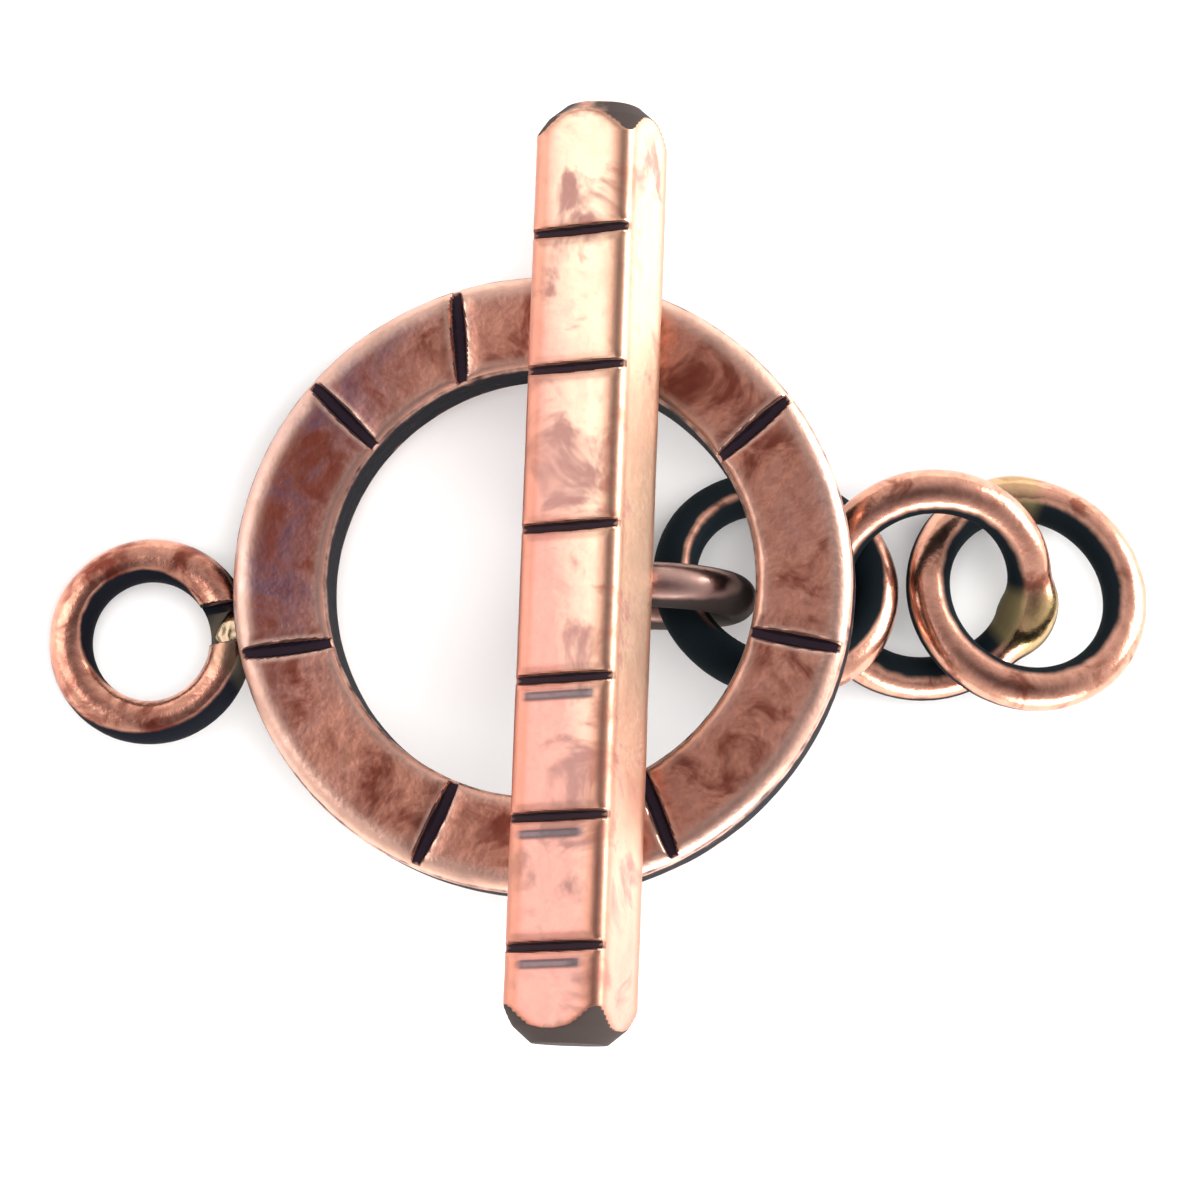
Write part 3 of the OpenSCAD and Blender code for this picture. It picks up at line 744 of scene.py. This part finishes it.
# %% Colours and sizes as the eye reads them
def linear(hex_colour):
    """sRGB hex to the linear colour that a shader wants."""
    channels = [int(hex_colour[i:i + 2], 16) / 255 for i in (1, 3, 5)]
    return tuple(c / 12.92 if c <= 0.04045 else ((c + 0.055) / 1.055) ** 2.4 for c in channels) + (1.0,)


def per_metre(millimetres):
    """A noise scale whose patches are about this big."""
    return 1 / (millimetres * MM)


# %% Material: antiqued copper
FRECKLE_MM, GRAIN_MM, STREAK_MM = 0.45, 0.12, 0.35
FINE_MM, COARSE_MM = 0.02, 0.06
SMUDGE = "#6E6468"
WOBBLE, HOLLOW_KEEPS, PROUD_LOSES = 0.22, 0.8, 0.5
CRUST_AND_SHADE_ROUGH, GRAIN_ROUGH = 0.62, 0.12


def antiqued_copper(name, lie, edge_wear_and_reflection, left, right, wire, stain, patina_and_shade_colour, mark, solder, tone_and_light_along, tone_and_light_mm,
                    cloud_mm, stain_share, speckle, rough, wire_shine, relief, streak):
    """Dipped in liver of sulphur and buffed, with painted shade and painted light in the colour. lie is the
    piece's place, so that streaks run along it.
    """
    material = bpy.data.materials.new(name)
    material.use_nodes = True
    tree = material.node_tree
    tree.nodes.clear()
    output = add(tree, "ShaderNodeOutputMaterial")
    here = add(tree, "ShaderNodeTexCoord").outputs["Object"]
    own = add(tree, "ShaderNodeMapping", {"Vector": here, "Location": tuple(lie.translation * MM),
                                          "Rotation": tuple(lie.to_euler())}, vector_type="TEXTURE")
    share = {label: add(tree, "ShaderNodeAttribute", attribute_name=label).outputs["Fac"]
             for label in ("flat", "shelter", "mark", "slip", "tip", "solder", "proud", "hollow")}

    clouds = add(tree, NOISE, {"Vector": own, "Scale": per_metre(cloud_mm), "Detail": 4.0,
                               "Roughness": 0.6, "Distortion": 0.6})
    freckles = add(tree, NOISE, {"Vector": own, "Scale": per_metre(FRECKLE_MM), "Detail": 3.0})
    grain = add(tree, NOISE, {"Vector": own, "Scale": per_metre(GRAIN_MM), "Detail": 2.0})
    drawn = add(tree, "ShaderNodeMapping", {"Vector": own, "Scale": streak})
    streaks = add(tree, NOISE, {"Vector": drawn, "Scale": per_metre(STREAK_MM), "Detail": 3.0})

    # The tone drifts from one side of the piece to the other, broken up by clouds. On the bar this drift is
    # painted light: its right side is pale as if lit from the right. Round wire has its own.
    sideways = add(tree, VECTOR_MATH, {0: own, 1: tone_and_light_along}, operation="DOT_PRODUCT").outputs["Value"]
    tone_and_light_drift = add(tree, MAP_RANGE, {"Value": sideways, "From Min": tone_and_light_mm[0] * MM,
                                  "From Max": tone_and_light_mm[1] * MM, "To Min": -0.7, "To Max": 0.3})
    tone_and_light_drift = add(tree, MATH, {0: clouds, 1: 1.4, 2: tone_and_light_drift}, operation="MULTIPLY_ADD", use_clamp=True)
    tone = add(tree, MIX, {0: tone_and_light_drift, 6: linear(left), 7: linear(right)}, data_type="RGBA").outputs[2]
    tone = add(tree, MIX, {0: share["flat"], 6: linear(wire), 7: tone}, data_type="RGBA").outputs[2]

    # Red-brown clouds of thin oxide over the buffed metal.
    stained = add(tree, MAP_RANGE, {"Value": clouds, "From Min": 0.62 - stain_share * 0.3,
                                    "From Max": 0.72 - stain_share * 0.1}, interpolation_type="SMOOTHSTEP")
    speck = add(tree, MAP_RANGE, {"Value": freckles, "From Min": 0.5, "From Max": 0.72, "To Max": speckle})
    streaked = add(tree, MAP_RANGE, {"Value": streaks, "From Min": 0.45, "From Max": 0.75,
                                     "To Max": speckle})
    oxide = add(tree, MATH, {0: stained, 1: speck}, operation="MAXIMUM")
    oxide = add(tree, MATH, {0: oxide, 1: streaked}, operation="MAXIMUM")

    # Patina and painted shade: file marks and hollows hold patina, and walls, undersides, the holes' sides
    # and sides that face away from the light get painted shade, all with an uneven edge.
    wobble = add(tree, MAP_RANGE, {"Value": freckles, "From Min": 0.3, "From Max": 0.7, "To Min": -WOBBLE,
                                   "To Max": WOBBLE})
    steady = add(tree, MAP_RANGE, {"Value": share["flat"], "To Min": 0.35, "To Max": 1.0})
    wobble = add(tree, MATH, {0: wobble, 1: steady}, operation="MULTIPLY")
    patina_and_shade_sum = add(tree, MATH, {0: share["shelter"], 1: share["mark"]}, operation="MAXIMUM")
    patina_and_shade_sum = add(tree, MATH, {0: patina_and_shade_sum, 1: share["tip"]}, operation="MAXIMUM")
    patina_and_shade_sum = add(tree, MATH, {0: share["hollow"], 1: HOLLOW_KEEPS, 2: patina_and_shade_sum}, operation="MULTIPLY_ADD")
    patina_and_shade_sum = add(tree, MATH, {0: share["proud"], 1: -PROUD_LOSES, 2: patina_and_shade_sum}, operation="MULTIPLY_ADD")
    patina_and_shade_mask = add(tree, MATH, {0: patina_and_shade_sum, 1: wobble}, operation="ADD")
    patina_and_shade_mask = add(tree, MAP_RANGE, {"Value": patina_and_shade_mask, "From Min": 0.12, "From Max": 0.88},
                    interpolation_type="SMOOTHSTEP")

    # From the bottom up: oxide, the grey smudge of the slips, proud edges (bare metal, and on the bar a
    # painted reflection), patina with painted shade, and solder, which shows less where the painted shade
    # lies.
    smudge = add(tree, MATH, {0: share["slip"], 1: 0.9}, operation="MULTIPLY")
    bright = add(tree, MATH, {0: share["proud"], 1: 0.6}, operation="MULTIPLY")
    dark = add(tree, MIX, {0: share["mark"], 6: linear(patina_and_shade_colour), 7: linear(mark)},
               data_type="RGBA").outputs[2]
    solder_out_of_shade = add(tree, MAP_RANGE, {"Value": share["shelter"], "To Min": 0.85, "To Max": 0.25})
    soldered = add(tree, MATH, {0: share["solder"], 1: solder_out_of_shade}, operation="MULTIPLY")
    for amount, layer in ((oxide, linear(stain)), (smudge, linear(SMUDGE)), (bright, linear(edge_wear_and_reflection)),
                          (patina_and_shade_mask, dark), (soldered, linear(solder))):
        tone = add(tree, MIX, {0: amount, 6: tone, 7: layer}, data_type="RGBA").outputs[2]

    # The patina and the painted shade are a dull crust that isn't metal, and the bare metal has the satin of
    # a buffing wheel.
    crust_and_shade = add(tree, MATH, {0: patina_and_shade_mask, 1: soldered}, operation="SUBTRACT", use_clamp=True)
    dull = add(tree, MAP_RANGE, {"Value": oxide, "To Min": rough, "To Max": rough + 0.12})
    shine = add(tree, MAP_RANGE, {"Value": share["flat"], "To Min": -wire_shine, "To Max": 0.0})
    dull = add(tree, MATH, {0: dull, 1: shine}, operation="ADD")
    dull = add(tree, MIX, {0: crust_and_shade, 2: dull, 3: CRUST_AND_SHADE_ROUGH}, data_type="FLOAT").outputs[0]
    dull = add(tree, MATH, {0: grain, 1: GRAIN_ROUGH, 2: dull}, operation="MULTIPLY_ADD")
    dull = add(tree, MATH, {0: dull, 1: GRAIN_ROUGH / 2}, operation="SUBTRACT")
    metallic = add(tree, MAP_RANGE, {"Value": crust_and_shade, "To Min": 1.0, "To Max": 0.0})

    scratches = add(tree, MATH, {0: streaks, 1: grain}, operation="ADD")
    fine = add(tree, "ShaderNodeBump", {"Height": scratches, "Strength": relief, "Distance": FINE_MM * MM})
    coarse = add(tree, "ShaderNodeBump", {"Height": freckles, "Strength": relief,
                                          "Distance": COARSE_MM * MM, "Normal": fine})
    shader = add(tree, "ShaderNodeBsdfPrincipled",
                 {"Base Color": tone, "Metallic": metallic, "Roughness": dull,
                  "Specular IOR Level": 0.04, "Normal": coarse})
    tree.links.new(shader.outputs[0], output.inputs[0])
    return material


# %% Finishes of the three kinds of piece
# Each finish's patina colour also paints the shade on walls, undersides and sides away from the light.
ring_finish = antiqued_copper(
    "antiqued_copper_ring", LIE["toggle_ring"], edge_wear_and_reflection="#F8D2BE", left="#8A6470", right="#F8B094",
    wire="#EEAC92", stain="#8C4A3C", patina_and_shade_colour="#14151C", mark="#2A2028", solder="#A5977C",
    tone_and_light_along=(1.0, -0.3, 0.0), tone_and_light_mm=(-7.2, -4.2), cloud_mm=1.5, stain_share=0.74, speckle=0.5,
    rough=0.36, wire_shine=0.14, relief=0.35, streak=(1.0, 1.0, 0.6))
# The bar's left and right colours are painted light: the right one is the pale of its lit right side.
bar_finish = antiqued_copper(
    # The bar's proud edges are painted brown, a painted reflection of the dim sky overhead, not bare metal.
    "antiqued_copper_bar", LIE["toggle_bar"], edge_wear_and_reflection="#B4745A", left="#DC9A8C", right="#FBDABC",
    wire="#D0A89C", stain="#B88A80", patina_and_shade_colour="#423936", mark="#33262A", solder="#A5977C",
    tone_and_light_along=(1.0, 0.12, 0.0), tone_and_light_mm=(-0.5, 1.2), cloud_mm=1.8, stain_share=0.45, speckle=0.2,
    rough=0.4, wire_shine=0.1, relief=0.12, streak=(1.0, 0.12, 1.0))
link_finish = antiqued_copper(
    "antiqued_copper_wire", LIE["middle_jump_ring"], edge_wear_and_reflection="#F6CDB8", left="#EEB096", right="#EEB096",
    wire="#EEB096", stain="#9A5E4C", patina_and_shade_colour="#131A1E", mark="#131A1E", solder="#CDB67A",
    tone_and_light_along=(1.0, 0.0, 0.0), tone_and_light_mm=(-3, 3), cloud_mm=1.2, stain_share=0.45, speckle=0.4,
    rough=0.22, wire_shine=0.0, relief=0.2, streak=(1.0, 1.0, 1.0))

pieces = [(toggle_ring, "toggle_ring", "ring_copper", ring_finish),
          (toggle_bar, "toggle_bar", "bar_copper", bar_finish)]
pieces += [(wire, node, "link_copper", link_finish) for node, wire in links.items()]
for piece, node, slot, finish in pieces:
    piece.data.materials.append(finish)
    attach(piece, "root")
    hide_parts(node)
    low, high = [Vector(corner) for corner in (piece.bound_box[0], piece.bound_box[6])]
    cad_low, cad_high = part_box(node)
    past = [*(cad_low - low), *(high - cad_high)]
    print(node, "stands proud of its node by mm:", [round(c / MM, 3) for c in past])

# %% [markdown]
# ## Table and light
# The photo has a white ground and soft light from all sides, with a dark camera overhead, which the upward
# faces of the ring and wires mirror. So the sky is bright near the horizon and dim at the top, and three
# soft boxes stand left, right and in front. A lamp that metal doesn't mirror whitens the table.

# %% Table
HALF_TABLE_M = 1.5
floor_mesh = bpy.data.meshes.new("table")
corners = [(x * HALF_TABLE_M, y * HALF_TABLE_M, 0) for x, y in ((-1, -1), (1, -1), (1, 1), (-1, 1))]
floor_mesh.from_pydata(corners, [], [(0, 1, 2, 3)])
table = put("table", floor_mesh)
white_card = bpy.data.materials.new("white_card")
white_card.use_nodes = True
card = white_card.node_tree.nodes["Principled BSDF"]
card.inputs["Base Color"].default_value = linear("#F4F3F1")
card.inputs["Roughness"].default_value = 0.9
card.inputs["Specular IOR Level"].default_value = 0.1
floor_mesh.materials.append(white_card)

# %% Sky: bright low down, dim overhead
world = bpy.data.worlds.new("light_tent")
bpy.context.scene.world = world
world.use_nodes = True
sky = world.node_tree
sky.nodes.clear()
direction = add(sky, "ShaderNodeTexCoord").outputs["Generated"]
height = add(sky, "ShaderNodeSeparateXYZ", {0: direction}).outputs[2]
tent = add(sky, "ShaderNodeValToRGB", {0: height})
ramp = tent.color_ramp.elements
ramp[0].position, ramp[0].color = 0.0, linear("#FFFFFF")
ramp[1].position, ramp[1].color = 1.0, linear("#5E5A62")
for at, shade in ((0.45, "#F4F2F2"), (0.8, "#C4BEC4")):
    ramp.new(at).color = linear(shade)
background = add(sky, "ShaderNodeBackground", {"Color": tent, "Strength": 0.9})
add(sky, "ShaderNodeOutputWorld", {0: background})

# %% Soft boxes
def soft_box(name, place, size, watts, mirrored=True):
    light = bpy.data.lights.new(name, "AREA")
    light.shape, light.size, light.size_y, light.energy = "RECTANGLE", size[0] * MM, size[1] * MM, watts
    box = put(name, light)
    box.location = Vector(place) * MM
    box.rotation_euler = (-Vector(place)).to_track_quat("-Z", "Y").to_euler()
    box.visible_glossy = mirrored


soft_box("soft_box_left", (-230, 60, 110), (160, 240), 0.21)
soft_box("soft_box_right", (240, 90, 60), (180, 110), 0.9)
soft_box("soft_box_front", (90, -230, 70), (200, 100), 0.6)
soft_box("table_lamp", (10, 40, 320), (260, 260), 1.0, mirrored=False)
bpy.context.scene.view_settings.view_transform = "Standard"
